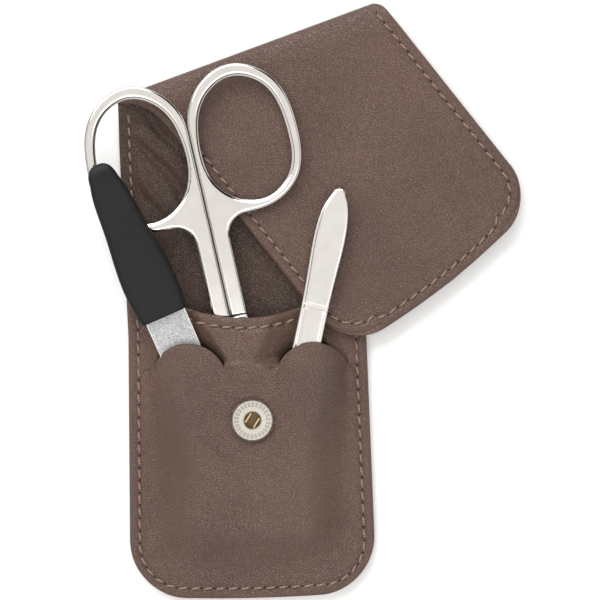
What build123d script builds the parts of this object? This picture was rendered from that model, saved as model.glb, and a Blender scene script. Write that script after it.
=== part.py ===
"""A leather manicure case lying open on its back, with nail scissors, a nail file and tweezers in it.

Millimetres. X runs across the case, Y up it towards the fold, Z out of the back panel.
The origin is on the back face, on the centreline, level with the press stud.
"""
import os
from math import atan, cos, degrees, hypot, radians, sin, sqrt, tan

from build123d import *

os.makedirs("parts", exist_ok=True)

# ---------------------------------------------------------------- driving dimensions
leather_t = 0.9  # outer leather
lining_t = 0.6  # thin lining leather
pocket_t = 1.2  # pocket front, leather bonded to its lining
glue_t = 0.12
strip_step = 0.08  # the strip above the slits lies this much lower than the panel below them
flap_gap = 2.0  # room between the back lining and the flap that lies over it

case_half_width = 28.4
case_bottom = -42.6
case_flare = 0.8  # how much further each side stands at the bottom
case_corner_r = 13.0
stitch_inset = 2.4
thread_w = 0.5
thread_h = 0.3
flap_thread_h = 0.1

fold_tilt = 18.9  # the fold runs up to the right at this angle
fold_height = 87.7  # where the outside of the fold crosses the centreline
fold_run = 6.5  # how far the soft roll reaches in from its outside

flap_half_width = 29.1
flap_lean = 37.0  # the flap's centreline, measured from straight down the case
flap_centre = 57.3  # distance of that centreline from the origin
flap_end = 4.0  # the flap's end, measured along the centreline
flap_end_r = 10.5
flap_crown = 2.4
curl_start = -66.0  # where the flap's left edge starts to curl round into the fold

mouth_bottom = 24.3
mouth_r = 38.0
slit_r = 9.3
slit_gap = 0.35
left_slit = (-14.1, 9.2)
right_slit = (15.6, 8.8)
slit_end_y = 12.8

stud_x = 0.9
socket_r = 5.05
socket_h = 0.9
socket_hole_r = 1.9
spring_wire_r = 0.28
spring_spread = 2.3
ball_r = 1.5
ball_h = 2.6

lift_lean = 13.4  # the flap lifts about a line that leans like the tweezers
lift_foot = (21.4, 20.0)
lift_cut = 0.3

clear = 0.15  # running clearance between the tools and the leather

# nail scissors, in their own frame: x across, y up the shanks from the pocket's mouth
scissors_at = (-4.02, 25.53)
scissors_lean = -11.3
scissors_tip = -32.0
scissors_stock = 2.0
scissors_seat = 2.0  # height of the tip above the table
shank_w = 4.0
shank_split = 0.3
pivot_y = -6.0
pivot_r = 2.3
tang_r = 4.1
layer_gap = 0.06

# nail file
file_at = (-19.2, 25.19)
file_lean = -22.2
file_tip = -47.0
file_blade_w = 10.1
file_blade_t = 1.0
file_seat = 1.9
file_pitch = 6.0
handle_len = 39.3
handle_t = 3.6
handle_under = 1.0
handle_edge_r = 0.8
blade_tang = 9.0  # how far the blade reaches into the handle
blade_point_run = 31.0  # how far the blade takes to narrow to its tip

# tweezers
tweezers_at = (17.82, 27.33)
tweezers_lean = 13.4
tweezers_x = -1.0
tweezers_top = 27.4
tweezers_tip = -52.6
tweezers_pitch = 2.86
arm_t = 0.9
arm_spread = 0.8
weld_y = 18.0

# ---------------------------------------------------------------- derived sizes
back_t = leather_t + lining_t
seam_z = back_t + glue_t + pocket_t
case_bottom_half_width = case_half_width + case_flare
flap_low = back_t + flap_gap
flap_top = flap_low + back_t
fold_rise = flap_top / 2
thread_gap = 0.02
far = 200.0

flap_dir = Vector(sin(radians(flap_lean)), -cos(radians(flap_lean)))
flap_across = Vector(cos(radians(flap_lean)), sin(radians(flap_lean)))
fold_dir = Vector(cos(radians(fold_tilt)), sin(radians(fold_tilt)))
fold_out = Vector(-sin(radians(fold_tilt)), cos(radians(fold_tilt)))

# the scissors rise so that they just clear the flap where it first passes under a ring
ring_low_y = 22.2
scissors_rise = (flap_top + flap_thread_h + clear - scissors_seat) / (ring_low_y - scissors_tip)
scissors_pitch = degrees(atan(scissors_rise))
# the tweezers clear the flap's corner with their rear arm, even when they are drawn out
arm_bow = arm_t + arm_spread
tweezers_mid = flap_top + clear + arm_bow - 3.8 * -tan(radians(tweezers_pitch))


def tool_plane(at, lean, pitch, height):
    """The plane of a tool that lies in the case: y along the tool and rising with it, z up."""
    along = Vector(sin(radians(lean)), cos(radians(lean)), tan(radians(pitch))).normalized()
    across = Vector(cos(radians(lean)), -sin(radians(lean)), 0)
    return Plane(origin=(at[0], at[1], height), x_dir=across, z_dir=across.cross(along))


def local(x, y, at, lean):
    """A point of the case in a tool's own plan frame."""
    u, v, a = x - at[0], y - at[1], radians(lean)
    return u * cos(a) - v * sin(a), u * sin(a) + v * cos(a)


scissors_mouth_z = scissors_seat - scissors_tip * scissors_rise
file_mouth_z = file_seat - file_tip * tan(radians(file_pitch))
scissors_plane = tool_plane(scissors_at, scissors_lean, scissors_pitch, scissors_mouth_z)
file_plane = tool_plane(file_at, file_lean, file_pitch, file_mouth_z)
tweezers_plane = tool_plane(tweezers_at, tweezers_lean, tweezers_pitch, tweezers_mid)


# ---------------------------------------------------------------- the pocket front's height
roof_z = 8.85  # top of the pocket front at the origin, high enough for all three tools under it
roof_up = 0.055  # its rise towards the mouth
roof_right = 0.035  # its rise towards the tweezers
ridge_drop = 0.17  # its fall from the slits to the mouth
side_run = 6.0  # how far it takes to rise beside the slits
side_run_low = 8.0  # how much further that is lower down
foot_run = 13.0  # how far it takes to rise from the bottom seam
seat_margin = 0.6


def smooth(t):
    t = min(max(t, 0.0), 1.0)
    return t * t * (3 - 2 * t)


def pouch(x, y):
    """The front of the pocket as a plain pouch over everything in it, flat along its seam."""
    edge = case_half_width - stitch_inset - seat_margin
    run = side_run + side_run_low * smooth((slit_end_y - y) / 25)
    side = smooth((edge - abs(x)) / run)
    foot = smooth((y - case_bottom - stitch_inset - seat_margin) / foot_run)
    roof = roof_z + roof_up * y + roof_right * x - ridge_drop * max(y - slit_end_y, 0) * (y > slit_end_y)
    return seam_z + (roof - seam_z) * side * foot


def front_low(x, y):
    """Top of the pocket front below the slits, flattened where the press stud clamps it."""
    away = smooth((hypot(x - stud_x, y) - socket_r - 2.4) / 5.0)
    y_roof = min(y, slit_end_y)
    top = pouch(x, y_roof) + roof_up * (y - y_roof)
    return socket_z + (top - socket_z) * away


def under_file(x, y):
    """The lowest face of the file and its handle above a point, climbing away beside them."""
    across, along = local(x, y, file_at, file_lean)
    low = file_mouth_z + along * tan(radians(file_pitch)) - handle_under
    return low - 2 * clear + 1.5 * max(abs(across) - file_blade_w / 2 - 0.6, 0)


def under_tweezers(x, y):
    """The rear arm's low face above a point, climbing away beside it."""
    across, along = local(x, y, tweezers_at, tweezers_lean)
    low = tweezers_mid + along * tan(radians(tweezers_pitch)) - arm_bow
    return low - 3.5 * clear + 2.2 * max(abs(across - tweezers_x) - 3.6, 0)


def under_flap(x, y):
    """The flap's low face above a point, climbing away outside its corner."""
    across = flap_across.X * x + flap_across.Y * y
    along = flap_dir.X * x + flap_dir.Y * y
    return flap_low - 2 * clear + 0.9 * max(flap_centre - flap_half_width - across, along - flap_end, 0)


def front_high(x, y):
    """Top of the pocket front above the slits: over the scissors, but under all that crosses it."""
    top = min(pouch(x, y), under_file(x, y), under_tweezers(x, y), under_flap(x, y))
    return max(top, seam_z)


socket_z = pouch(stud_x, 0)


def sheet(height, rows, low, high):
    """A band that follows a height function, from low to high above it, lofted through rows."""
    count = 40
    edge = case_bottom_half_width + 1.5
    stations = [-edge + 2 * edge * i / count for i in range(count + 1)]
    with BuildPart() as band:
        for y in rows:
            with BuildSketch(Plane.XZ.offset(-y)):
                with BuildLine():
                    upper = Spline(*[(x, height(x, y) + high) for x in stations])
                    lower = Spline(*[(x, height(x, y) + low) for x in stations])
                    Line(upper @ 0, lower @ 0)
                    Line(upper @ 1, lower @ 1)
                make_face()
        loft(ruled=True)
    return band.part


# ---------------------------------------------------------------- plan outlines
def case_outline(inset=0.0, top=140.0):
    """The back panel's outline, slightly wider at the bottom, with a faintly crowned bottom edge."""
    low_w, mid_w = case_bottom_half_width - inset, case_half_width - inset
    bottom = case_bottom + inset
    with BuildSketch() as outline:
        with BuildLine():
            Polyline((-mid_w - 1.1, top), (-mid_w - 1.1, 66), (-mid_w, 20), (-low_w, -28), (-low_w, bottom + 1))
            ThreePointArc((-low_w, bottom + 1), (0, bottom - 0.2), (low_w, bottom + 1))
            Polyline((low_w, bottom + 1), (low_w, -28), (mid_w, 20), (mid_w + 1.1, 66), (mid_w + 3.6, top))
            Line((mid_w + 3.6, top), (-mid_w - 1.1, top))
        make_face()
        low_corners = [v for v in outline.vertices() if abs(v.Y - bottom - 1) < 0.01]
        fillet(low_corners, case_corner_r - inset)
    return outline.sketch


def flap_point(across, along):
    p = flap_across * (flap_centre + across) + flap_dir * along
    return p.X, p.Y


def flap_outline(inset=0.0):
    """The flap's outline, from its end back past the fold, with a curled left edge at the fold."""
    w, end, back = flap_half_width - inset, flap_end - inset, -130
    with BuildSketch() as outline:
        with BuildLine():
            foot = end - flap_crown
            curl, tip = flap_point(-w, curl_start), (-case_half_width - 1.1 + inset, fold_height - 10.3)
            Spline(tip, curl, tangents=((1, -0.12), flap_dir))
            Line(curl, flap_point(-w, foot))
            ThreePointArc(flap_point(-w, foot), flap_point(0, end), flap_point(w, foot))
            Line(flap_point(w, foot), flap_point(w, back))
            Line(flap_point(w, back), (tip[0], 150))
            Line((tip[0], 150), tip)
        make_face()
        ends = [v for v in outline.vertices() if abs(Vector(v.X, v.Y).dot(flap_dir) - foot) < 0.01]
        fillet(ends, flap_end_r - inset)
    return outline.sketch


def tongue_zone():
    """Plan of what lies below the line through the slits."""
    with BuildSketch() as zone:
        with Locations((0, (slit_end_y - 80) / 2)):
            Rectangle(90, slit_end_y + 80)
        for x, y in (left_slit, right_slit):
            with Locations((x, y)):
                Circle(slit_r - slit_gap)
    return zone.sketch


def fold_profile(outer, inner):
    """The section across the fold of one layer: the back, the soft roll and the flap."""
    with BuildSketch(Plane(origin=(0, fold_height, 0), x_dir=fold_out, z_dir=fold_dir)) as section:
        with BuildLine():
            for inset in (outer, inner):
                run, rise = fold_run - inset, fold_rise - inset
                middle = (-fold_run, fold_rise)
                EllipticalCenterArc(middle, run, rise, start_angle=-90, arc_size=180)
                Line((-fold_run, inset), (-far, inset))
                Line((-fold_run, flap_top - inset), (-far, flap_top - inset))
            Line((-far, outer), (-far, inner))
            Line((-far, flap_top - outer), (-far, flap_top - inner))
        make_face()
    return section.sketch


# ---------------------------------------------------------------- case: back, fold and flap
with BuildSketch() as right_of_lift:
    foot, lean = Vector(*lift_foot), radians(lift_lean)
    lift_dir = Vector(sin(lean), cos(lean))
    lift_side = Vector(cos(lean), -sin(lean))
    start, stop = foot - lift_dir * 40, foot + lift_dir * 160
    with BuildLine():
        Polyline(start, stop, stop + lift_side * 120, start + lift_side * 120, start)
    make_face()

with BuildSketch() as lift_gap:
    with BuildLine():
        Polyline(start, stop, stop - lift_side * lift_cut, start - lift_side * lift_cut, start)
    make_face()


def folded(outer, inner, inset, part_of_flap):
    """One layer of the case: the back with its half of the roll, and the flap on either side of the lift line."""
    with BuildPart() as plan:
        if not part_of_flap:
            extrude(case_outline(inset), amount=fold_rise)
        with BuildSketch(Plane.XY.offset(fold_rise)):
            add(flap_outline(inset))
            if part_of_flap:
                add(right_of_lift.sketch, mode=Mode.INTERSECT)
            else:
                add(right_of_lift.sketch, mode=Mode.SUBTRACT)
                add(lift_gap.sketch, mode=Mode.SUBTRACT)
        extrude(amount=fold_rise + 1)
    with BuildPart() as layer:
        extrude(fold_profile(outer, inner), amount=90, both=True)
        add(plan.part, mode=Mode.INTERSECT)
    return layer.part


# the concealed plate that holds the press stud's ball under the flap
stud_at = flap_point(0, flap_end - 14.0)
plate_r = 4.5
plate_t = 0.4
post_r = 0.9

with BuildPart() as case_leather:
    add(folded(0, leather_t, 0, False))

with BuildPart() as case_lining:
    add(folded(leather_t, back_t, 0.2, False))

with BuildPart() as flap_leather:
    add(folded(0, leather_t, 0, True))
    with BuildSketch(Plane.XY.offset(flap_low + lining_t)):
        with Locations(stud_at):
            Circle(plate_r)
    extrude(amount=plate_t, mode=Mode.SUBTRACT)

with BuildPart() as flap_lining:
    add(folded(leather_t, back_t, 0.2, True))
    with BuildSketch(Plane.XY.offset(flap_low)):
        with Locations(stud_at):
            Circle(post_r)
    extrude(amount=lining_t, mode=Mode.SUBTRACT)

# ---------------------------------------------------------------- pocket front
with BuildPart() as pocket_plan:
    with BuildSketch():
        add(case_outline())
        with Locations((0, mouth_bottom + mouth_r)):
            Circle(mouth_r, mode=Mode.SUBTRACT)
        with Locations((0, 140)):
            Rectangle(120, 206, mode=Mode.SUBTRACT)
    extrude(amount=20)

low_rows = (-46, -43, -40, -37, -34, -30, -24, -17, -10, -5.5, 5.5, 9, 11, 13, 15, 17, 20)
high_rows = (11, 13, 15, 17, 19, 21, 23, 25, 28, 32, 36, 40)

with BuildPart() as below_slits:
    extrude(tongue_zone(), amount=20)

with BuildPart() as front_above:
    with BuildSketch():
        with Locations((0, slit_end_y - 0.5 + 20)):
            Rectangle(80, 40)
        for centre in (left_slit, right_slit):
            with Locations(centre):
                Circle(slit_r, mode=Mode.SUBTRACT)
    extrude(amount=20)
    add(sheet(front_high, high_rows, -pocket_t - strip_step, -strip_step), mode=Mode.INTERSECT)

with BuildPart() as pocket_front:
    add(sheet(front_low, low_rows, -pocket_t, 0))
    add(below_slits.part, mode=Mode.INTERSECT)
    add(front_above.part)
    add(pocket_plan.part, mode=Mode.INTERSECT)
    with BuildSketch(Plane.XY):
        with Locations((stud_x, 0)):
            Circle(socket_hole_r + 0.6)
    extrude(amount=20, mode=Mode.SUBTRACT)


# ---------------------------------------------------------------- threads
def seam_ring(outline):
    """A band as wide as the thread, on the seam line of an outline."""
    with BuildSketch() as ring:
        add(outline(stitch_inset - thread_w / 2))
        add(outline(stitch_inset + thread_w / 2), mode=Mode.SUBTRACT)
    return ring.sketch


mouth_side_y = mouth_bottom + mouth_r - sqrt(mouth_r**2 - (case_half_width - stitch_inset) ** 2)
fold_foot_y = fold_height - case_half_width * tan(radians(fold_tilt)) - fold_run / cos(radians(fold_tilt))

with BuildPart() as body_seam_thread:
    with BuildSketch(Plane.XY.offset(seam_z + 0.05)):
        add(seam_ring(case_outline))
        with Locations((0, mouth_side_y - 1.0 + 100)):
            Rectangle(120, 200, mode=Mode.SUBTRACT)
    extrude(amount=thread_h)
    with BuildSketch(Plane.XY.offset(back_t)):
        add(seam_ring(case_outline))
        with Locations((0, (mouth_side_y + 1.5 + fold_foot_y - 1.0) / 2)):
            Rectangle(120, fold_foot_y - mouth_side_y - 2.5, mode=Mode.INTERSECT)
    extrude(amount=thread_h)

with BuildPart() as mouth_band:
    with BuildSketch():
        with Locations((0, mouth_bottom + mouth_r)):
            Circle(mouth_r + stitch_inset + thread_w / 2)
            Circle(mouth_r + stitch_inset - thread_w / 2, mode=Mode.SUBTRACT)
        with Locations((0, 20)):
            Rectangle(2 * (case_half_width - stitch_inset - 1.0), 40, mode=Mode.INTERSECT)
    extrude(amount=20)

with BuildPart() as mouth_seam_thread:
    add(sheet(front_high, high_rows, thread_gap, 0.22))
    add(mouth_band.part, mode=Mode.INTERSECT)


def flap_thread(part_of_flap):
    with BuildPart() as thread:
        with BuildSketch(Plane.XY.offset(flap_top)):
            add(seam_ring(flap_outline))
            add(right_of_lift.sketch, mode=Mode.INTERSECT if part_of_flap else Mode.SUBTRACT)
            if not part_of_flap:
                add(lift_gap.sketch, mode=Mode.SUBTRACT)
            with BuildLine(Plane(origin=(0, fold_height, 0), x_dir=fold_dir, z_dir=(0, 0, 1))):
                low = -fold_run - 0.5
                Polyline((-far, low), (far, low), (far, low - far), (-far, low - far), (-far, low))
            make_face(mode=Mode.INTERSECT)
        extrude(amount=flap_thread_h)
    return thread.part


with BuildPart() as flap_seam_thread:
    add(flap_thread(True))

with BuildPart() as flap_root_thread:
    add(flap_thread(False))

# ---------------------------------------------------------------- press stud
post_hole_r = socket_hole_r + 0.6
socket_base = socket_z + 0.04
with BuildPart() as socket_cap:
    with BuildSketch(Plane.XY.offset(socket_base)):
        with Locations((stud_x, 0)):
            Circle(socket_r)
            Circle(socket_hole_r, mode=Mode.SUBTRACT)
    extrude(amount=socket_h)
    rim = socket_cap.edges().filter_by(GeomType.CIRCLE).group_by(Axis.Z)[-1]
    chamfer(rim, 0.3)
    with BuildSketch(Plane.XY.offset(socket_base)):
        with Locations((stud_x, 0)):
            with PolarLocations(socket_r + 0.03, 44):
                Circle(0.14)
    extrude(amount=socket_h, mode=Mode.SUBTRACT)
    with BuildSketch(Plane.XY.offset(socket_base + socket_h)):
        with Locations((stud_x, 0)):
            with PolarLocations(socket_hole_r + 0.85, 16):
                Circle(0.16)
    extrude(amount=-0.15, mode=Mode.SUBTRACT)

cup_floor = socket_base - pocket_t - 0.55
with BuildPart() as socket_rivet:
    with BuildSketch(Plane.XY.offset(cup_floor)):
        with Locations((stud_x, 0)):
            Circle(4.4)
    extrude(amount=0.4)
    with BuildSketch(Plane.XY.offset(cup_floor + 0.4)):
        with Locations((stud_x, 0)):
            Circle(post_hole_r - 0.05)
            Circle(socket_hole_r, mode=Mode.SUBTRACT)
    extrude(amount=socket_base - cup_floor - 0.4)

wire_z = socket_base + 0.35
wire_lean = 57.0
with BuildPart() as socket_spring:
    for side in (-1, 1):
        chord = 2 * sqrt(socket_hole_r**2 - (spring_spread / 2) ** 2) - 0.5
        lean = radians(wire_lean)
        middle = Vector(stud_x, 0, wire_z) + Vector(-sin(lean), cos(lean)) * side * spring_spread / 2
        axis = Vector(cos(lean), sin(lean), 0)
        with BuildSketch(Plane(origin=middle - axis * chord / 2, z_dir=axis)):
            Circle(spring_wire_r)
        extrude(amount=chord)

with BuildPart() as stud_ball:
    with BuildSketch(Plane.XY.offset(flap_low)):
        with Locations(stud_at):
            Circle(3.6)
    extrude(amount=-0.5)
    with BuildSketch(Plane.XY.offset(flap_low - 0.5)):
        with Locations(stud_at):
            Circle(ball_r - 0.3)
    extrude(amount=-(ball_h - ball_r))
    with Locations((stud_at[0], stud_at[1], flap_low - 0.5 - ball_h + ball_r)):
        Sphere(ball_r)

with BuildPart() as stud_plate:
    with BuildSketch(Plane.XY.offset(flap_low + lining_t)):
        with Locations(stud_at):
            Circle(plate_r)
    extrude(amount=plate_t)
    with BuildSketch(Plane.XY.offset(flap_low)):
        with Locations(stud_at):
            Circle(post_r)
    extrude(amount=lining_t)

# ---------------------------------------------------------------- nail scissors
edge = shank_split / 2
ring_start = 44.5
shank_foot = 0.0
screw_r = 1.0
fit = 0.03


def flat_edges(builder, plane):
    """The edges that run parallel to a plane, which are those round a plate's two faces."""
    return builder.edges().filter_by(lambda e: abs(e.tangent_at(0.5).dot(plane.z_dir)) < 0.1)


def handle_sketch():
    """Shank and finger ring of one half, in plan."""
    with BuildSketch(scissors_plane) as plan:
        with BuildLine():
            Line((edge, shank_foot), (edge, ring_start))
            Spline((edge, ring_start), (3.6, 53.2), (12.5, 57.7), (22, 52.6), (25.4, 40), (22.9, 28.2),
                   (16.5, 23.5), (9.0, 22.6), tangents=((0, 1), (-1, 0)))
            TangentArc((9.0, 22.6), (shank_w, 17.6), tangent=(-1, 0))
            Line((shank_w, 17.6), (shank_w, shank_foot))
            Line((shank_w, shank_foot), (edge, shank_foot))
        make_face()
        with BuildLine():
            Spline((12.3, 54.7), (5.0, 50.5), (2.0, 41.5), (3.4, 31), (8.0, 26.3), (15, 25.1), (21.2, 29.5),
                   (23.0, 40), (19.2, 51.8), periodic=True)
        make_face(mode=Mode.SUBTRACT)
    return plan.sketch


def blade_sketch(height):
    """Tang and blade of one half, in plan, at a height in the scissors' own frame."""
    with BuildSketch(scissors_plane.offset(height)) as plan:
        with Locations((0, pivot_y)):
            Circle(tang_r)
        with BuildLine():
            Polyline((edge, shank_foot + 1), (shank_w - 0.1, shank_foot + 1), (tang_r - 0.1, pivot_y),
                     (edge, pivot_y), (edge, shank_foot + 1))
        make_face()
        with BuildLine():
            Spline((-tang_r + 0.3, pivot_y - 1), (-2.6, -18), (0.25, scissors_tip))
            Line((0.25, scissors_tip), (0.55, scissors_tip + 0.4))
            Spline((0.55, scissors_tip + 0.4), (1.9, -18), (tang_r - 1.0, pivot_y - 1))
            Line((tang_r - 1.0, pivot_y - 1), (-tang_r + 0.3, pivot_y - 1))
        make_face()
        with Locations((0, pivot_y)):
            Circle(screw_r + fit, mode=Mode.SUBTRACT)
    return plan.sketch


mid_plane = Plane(origin=scissors_plane.origin, x_dir=scissors_plane.z_dir, z_dir=scissors_plane.x_dir)
half_stock = (scissors_stock - layer_gap) / 2

with BuildPart() as scissors_right_half:
    extrude(handle_sketch(), amount=scissors_stock)
    extrude(blade_sketch(scissors_stock - half_stock), amount=half_stock)

with BuildPart() as scissors_left_half:
    extrude(handle_sketch(), amount=scissors_stock)
    extrude(blade_sketch(0), amount=half_stock)
    mirror(about=mid_plane, mode=Mode.REPLACE)

with BuildPart() as scissors_screw:
    with BuildSketch(scissors_plane.offset(0.1)):
        with Locations((0, pivot_y)):
            Circle(screw_r)
    extrude(amount=scissors_stock - 0.1)
    with BuildSketch(scissors_plane.offset(scissors_stock)):
        with Locations((0, pivot_y)):
            Circle(pivot_r)
    extrude(amount=0.3)

# ---------------------------------------------------------------- nail file
half_blade = file_blade_w / 2
handle_shoulder = handle_len - 4.3
handle_waist = handle_len - 15.3
handle_belly = handle_len / 4
with BuildPart() as file_blade:
    with BuildSketch(file_plane):
        with BuildLine():
            narrowing, waist = file_tip + blade_point_run, file_tip + blade_point_run * 0.29
            waist_w = half_blade * 0.594
            Polyline((half_blade, blade_tang), (-half_blade, blade_tang), (-half_blade + 0.2, narrowing))
            Spline((-half_blade + 0.2, narrowing), (-waist_w, waist), (-0.4, file_tip))
            Line((-0.4, file_tip), (0.4, file_tip))
            Spline((0.4, file_tip), (waist_w, waist), (half_blade - 0.2, narrowing))
            Line((half_blade - 0.2, narrowing), (half_blade, blade_tang))
        make_face()
    extrude(amount=file_blade_t)

with BuildPart() as file_handle:
    with BuildSketch(file_plane.offset(-handle_under)):
        with BuildLine():
            right = Spline((half_blade + 0.25, 0), (half_blade + 1.05, handle_belly), (4.7, handle_waist),
                           (3.3, handle_shoulder), tangents=((0.18, 1), (-0.3, 1)))
            top = ThreePointArc(right @ 1, (-0.3, handle_len), (-3.9, handle_shoulder))
            left = Spline(top @ 1, (-5.3, handle_waist), (-half_blade - 1.65, handle_belly),
                          (-half_blade - 0.85, 0), tangents=((-0.3, -1), (0.18, -1)))
            Line(left @ 1, right @ 0)
        make_face()
    extrude(amount=handle_t)
    fillet(flat_edges(file_handle, file_plane), handle_edge_r)
    with BuildSketch(file_plane):
        with Locations((0, blade_tang / 2 - 5)):
            Rectangle(file_blade_w + 0.02, blade_tang + 10)
    extrude(amount=file_blade_t, mode=Mode.SUBTRACT)

# ---------------------------------------------------------------- tweezers
arm_start = weld_y - 0.4
arm_room = 0.08


def arm_plan(shift, wider):
    with BuildSketch(tweezers_plane.offset(-6)) as plan:
        with BuildLine():
            x = tweezers_x + shift
            side = [(2.2, 25.0), (3.1 + wider, 21.5), (3.5 + wider, 17.0), (3.2 + wider, 8.0), (2.9 + wider, -2.0),
                    (2.9 + wider, -14.0), (1.5, -45.0), (0.9, tweezers_tip)]
            right = Spline(*[(x + w, y) for w, y in side])
            foot = Line(right @ 1, (x - side[-1][0], tweezers_tip))
            left = Spline(*[(x - w, y) for w, y in reversed(side)])
            ThreePointArc(left @ 1, (x, tweezers_top), right @ 0)
        make_face()
    return plan.sketch


tweezers_side = Plane(origin=tweezers_plane.origin, x_dir=-tweezers_plane.y_dir, z_dir=tweezers_plane.x_dir)


def arm(sign, shift, wider, start, room):
    """One arm of the tweezers, bowed away from the middle plane; with no room it keeps its flat end."""
    def bow(y):
        return room + (arm_spread - room) * smooth((weld_y - y) / 40)

    whole, flat_y = room == 0, -(tweezers_top + 2)
    stations = [start + (tweezers_tip - 1 - start) * i / 12 for i in range(13)]
    with BuildPart() as piece:
        with BuildSketch(tweezers_side):
            with BuildLine():
                inner = Spline(*[(-y, -sign * bow(y)) for y in stations])
                outer = Spline(*[(-y, -sign * (bow(y) + arm_t)) for y in stations])
                Line(inner @ 1, outer @ 1)
                if whole:
                    Polyline(inner @ 0, (flat_y, 0), (flat_y, -sign * arm_t), outer @ 0)
                else:
                    Line(inner @ 0, outer @ 0)
            make_face()
        extrude(amount=8, both=True)
        extrude(arm_plan(shift, wider), amount=12, mode=Mode.INTERSECT)
    return piece.part


with BuildPart() as tweezers_rear_arm:
    add(arm(-1, -0.3, 0.25, weld_y, 0.0))

with BuildPart() as tweezers_head:
    with BuildSketch(tweezers_plane.offset(0.01)):
        with Locations((0, weld_y + 10)):
            Rectangle(16, 20)
    extrude(amount=arm_t - 0.01)
    extrude(arm_plan(0, 0), amount=12, mode=Mode.INTERSECT)

with BuildPart() as tweezers_front_arm:
    add(arm(1, 0, 0, arm_start, arm_room))

# ---------------------------------------------------------------- export
pieces = {
    "case_leather": case_leather,
    "case_lining": case_lining,
    "pocket_front": pocket_front,
    "body_seam_thread": body_seam_thread,
    "mouth_seam_thread": mouth_seam_thread,
    "flap_root_thread": flap_root_thread,
    "socket_cap": socket_cap,
    "socket_rivet": socket_rivet,
    "socket_spring": socket_spring,
    "flap_leather": flap_leather,
    "flap_lining": flap_lining,
    "flap_seam_thread": flap_seam_thread,
    "stud_ball": stud_ball,
    "stud_plate": stud_plate,
    "scissors_right_half": scissors_right_half,
    "scissors_left_half": scissors_left_half,
    "scissors_screw": scissors_screw,
    "file_blade": file_blade,
    "file_handle": file_handle,
    "tweezers_rear_arm": tweezers_rear_arm,
    "tweezers_head": tweezers_head,
    "tweezers_front_arm": tweezers_front_arm,
}
for name, piece in pieces.items():
    piece.part.label = name
    export_step(piece.part, f"parts/{name}.step")
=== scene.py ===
"""A leather manicure case lying open with its tools in it. Metres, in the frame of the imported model."""
from math import acos, atan2, ceil, cos, pi, radians, sin, sqrt, tan

import bmesh
import bpy
import numpy as np
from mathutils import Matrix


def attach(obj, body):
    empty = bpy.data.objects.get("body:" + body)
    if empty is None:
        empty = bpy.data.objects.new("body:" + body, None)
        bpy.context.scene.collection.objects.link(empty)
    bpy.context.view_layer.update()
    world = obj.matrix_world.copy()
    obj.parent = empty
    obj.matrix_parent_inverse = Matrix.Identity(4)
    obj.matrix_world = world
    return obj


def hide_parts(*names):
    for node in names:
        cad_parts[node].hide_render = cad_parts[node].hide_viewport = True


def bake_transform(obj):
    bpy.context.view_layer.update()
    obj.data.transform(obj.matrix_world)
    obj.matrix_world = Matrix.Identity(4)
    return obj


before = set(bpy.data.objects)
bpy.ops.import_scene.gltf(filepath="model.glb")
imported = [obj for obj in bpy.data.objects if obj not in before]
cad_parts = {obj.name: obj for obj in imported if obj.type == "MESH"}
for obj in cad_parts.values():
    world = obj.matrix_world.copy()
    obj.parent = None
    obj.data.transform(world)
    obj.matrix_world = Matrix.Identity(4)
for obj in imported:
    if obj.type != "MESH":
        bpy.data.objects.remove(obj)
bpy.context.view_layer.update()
MM = 0.001


# ------------------------------------------------------------------ the table, the light and the camera
# The case lies on a white table. A broad soft box hangs beyond the fold and a weaker one over
# the bottom. The room is pale with a dark band and one dark card, so polished edges show.
def fill(tree, made, **values):
    """Set up a node. Lower-case keys are its settings, others its inputs by name, and _0 _1 _2 by number.

    An input takes a value, another node's output to link to it, or a node for its first output.
    """
    for key, value in values.items():
        if key == "stops":
            ends = made.color_ramp.elements
            (ends[0].position, low), *middle, (ends[1].position, high) = value
            ends[0].color, ends[1].color = (*low, 1), (*high, 1)
            for place, colour in middle:
                ends.new(place).color = (*colour, 1)
        elif key[0].islower():
            setattr(made, key, value)
        else:
            socket = made.inputs[int(key[1]) if key[0] == "_" else key.replace("_", " ")]
            if isinstance(value, bpy.types.Node):
                value = value.outputs[0]
            if isinstance(value, bpy.types.NodeSocket):
                tree.links.new(value, socket)
            else:
                socket.default_value = value
    return made


def node(tree, kind, **values):
    """A shader node with its settings, values and links."""
    return fill(tree, tree.nodes.new("ShaderNode" + kind), **values)


def material(name, **values):
    """A Principled material with plain values, its tree and its shader node."""
    made = bpy.data.materials.new(name)
    made.use_nodes = True
    return made, made.node_tree, fill(made.node_tree, made.node_tree.nodes["Principled BSDF"], **values)


table_white, tree, shader = material("table_white", Base_Color=(0.93, 0.93, 0.93, 1), Roughness=0.9)
noise = node(tree, "TexNoise", Scale=900)
bump = node(tree, "Bump", Strength=0.03, Distance=0.0001, Height=noise)
fill(tree, shader, Normal=bump)
table_mesh = bpy.data.meshes.new("table")
table_mesh.from_pydata([(-20, -20, 0), (20, -20, 0), (20, 20, 0), (-20, 20, 0)], [], [(0, 1, 2, 3)])
table = bpy.data.objects.new("table", table_mesh)
bpy.context.collection.objects.link(table)
table_mesh.materials.append(table_white)

view_centre = np.array([12.84, 28.17, 0.0]) * MM
view_width = 142.86 * MM
view_turn = radians(-1.4)
camera_data = bpy.data.cameras.new("camera")
camera_data.lens = 150
camera_data.sensor_width = 36
camera = bpy.data.objects.new("camera", camera_data)
camera.location = (view_centre[0], view_centre[1], view_width * camera_data.lens / camera_data.sensor_width + 0.005)
camera.rotation_euler = (0, 0, view_turn)
bpy.context.collection.objects.link(camera)
bpy.context.scene.camera = camera


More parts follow.
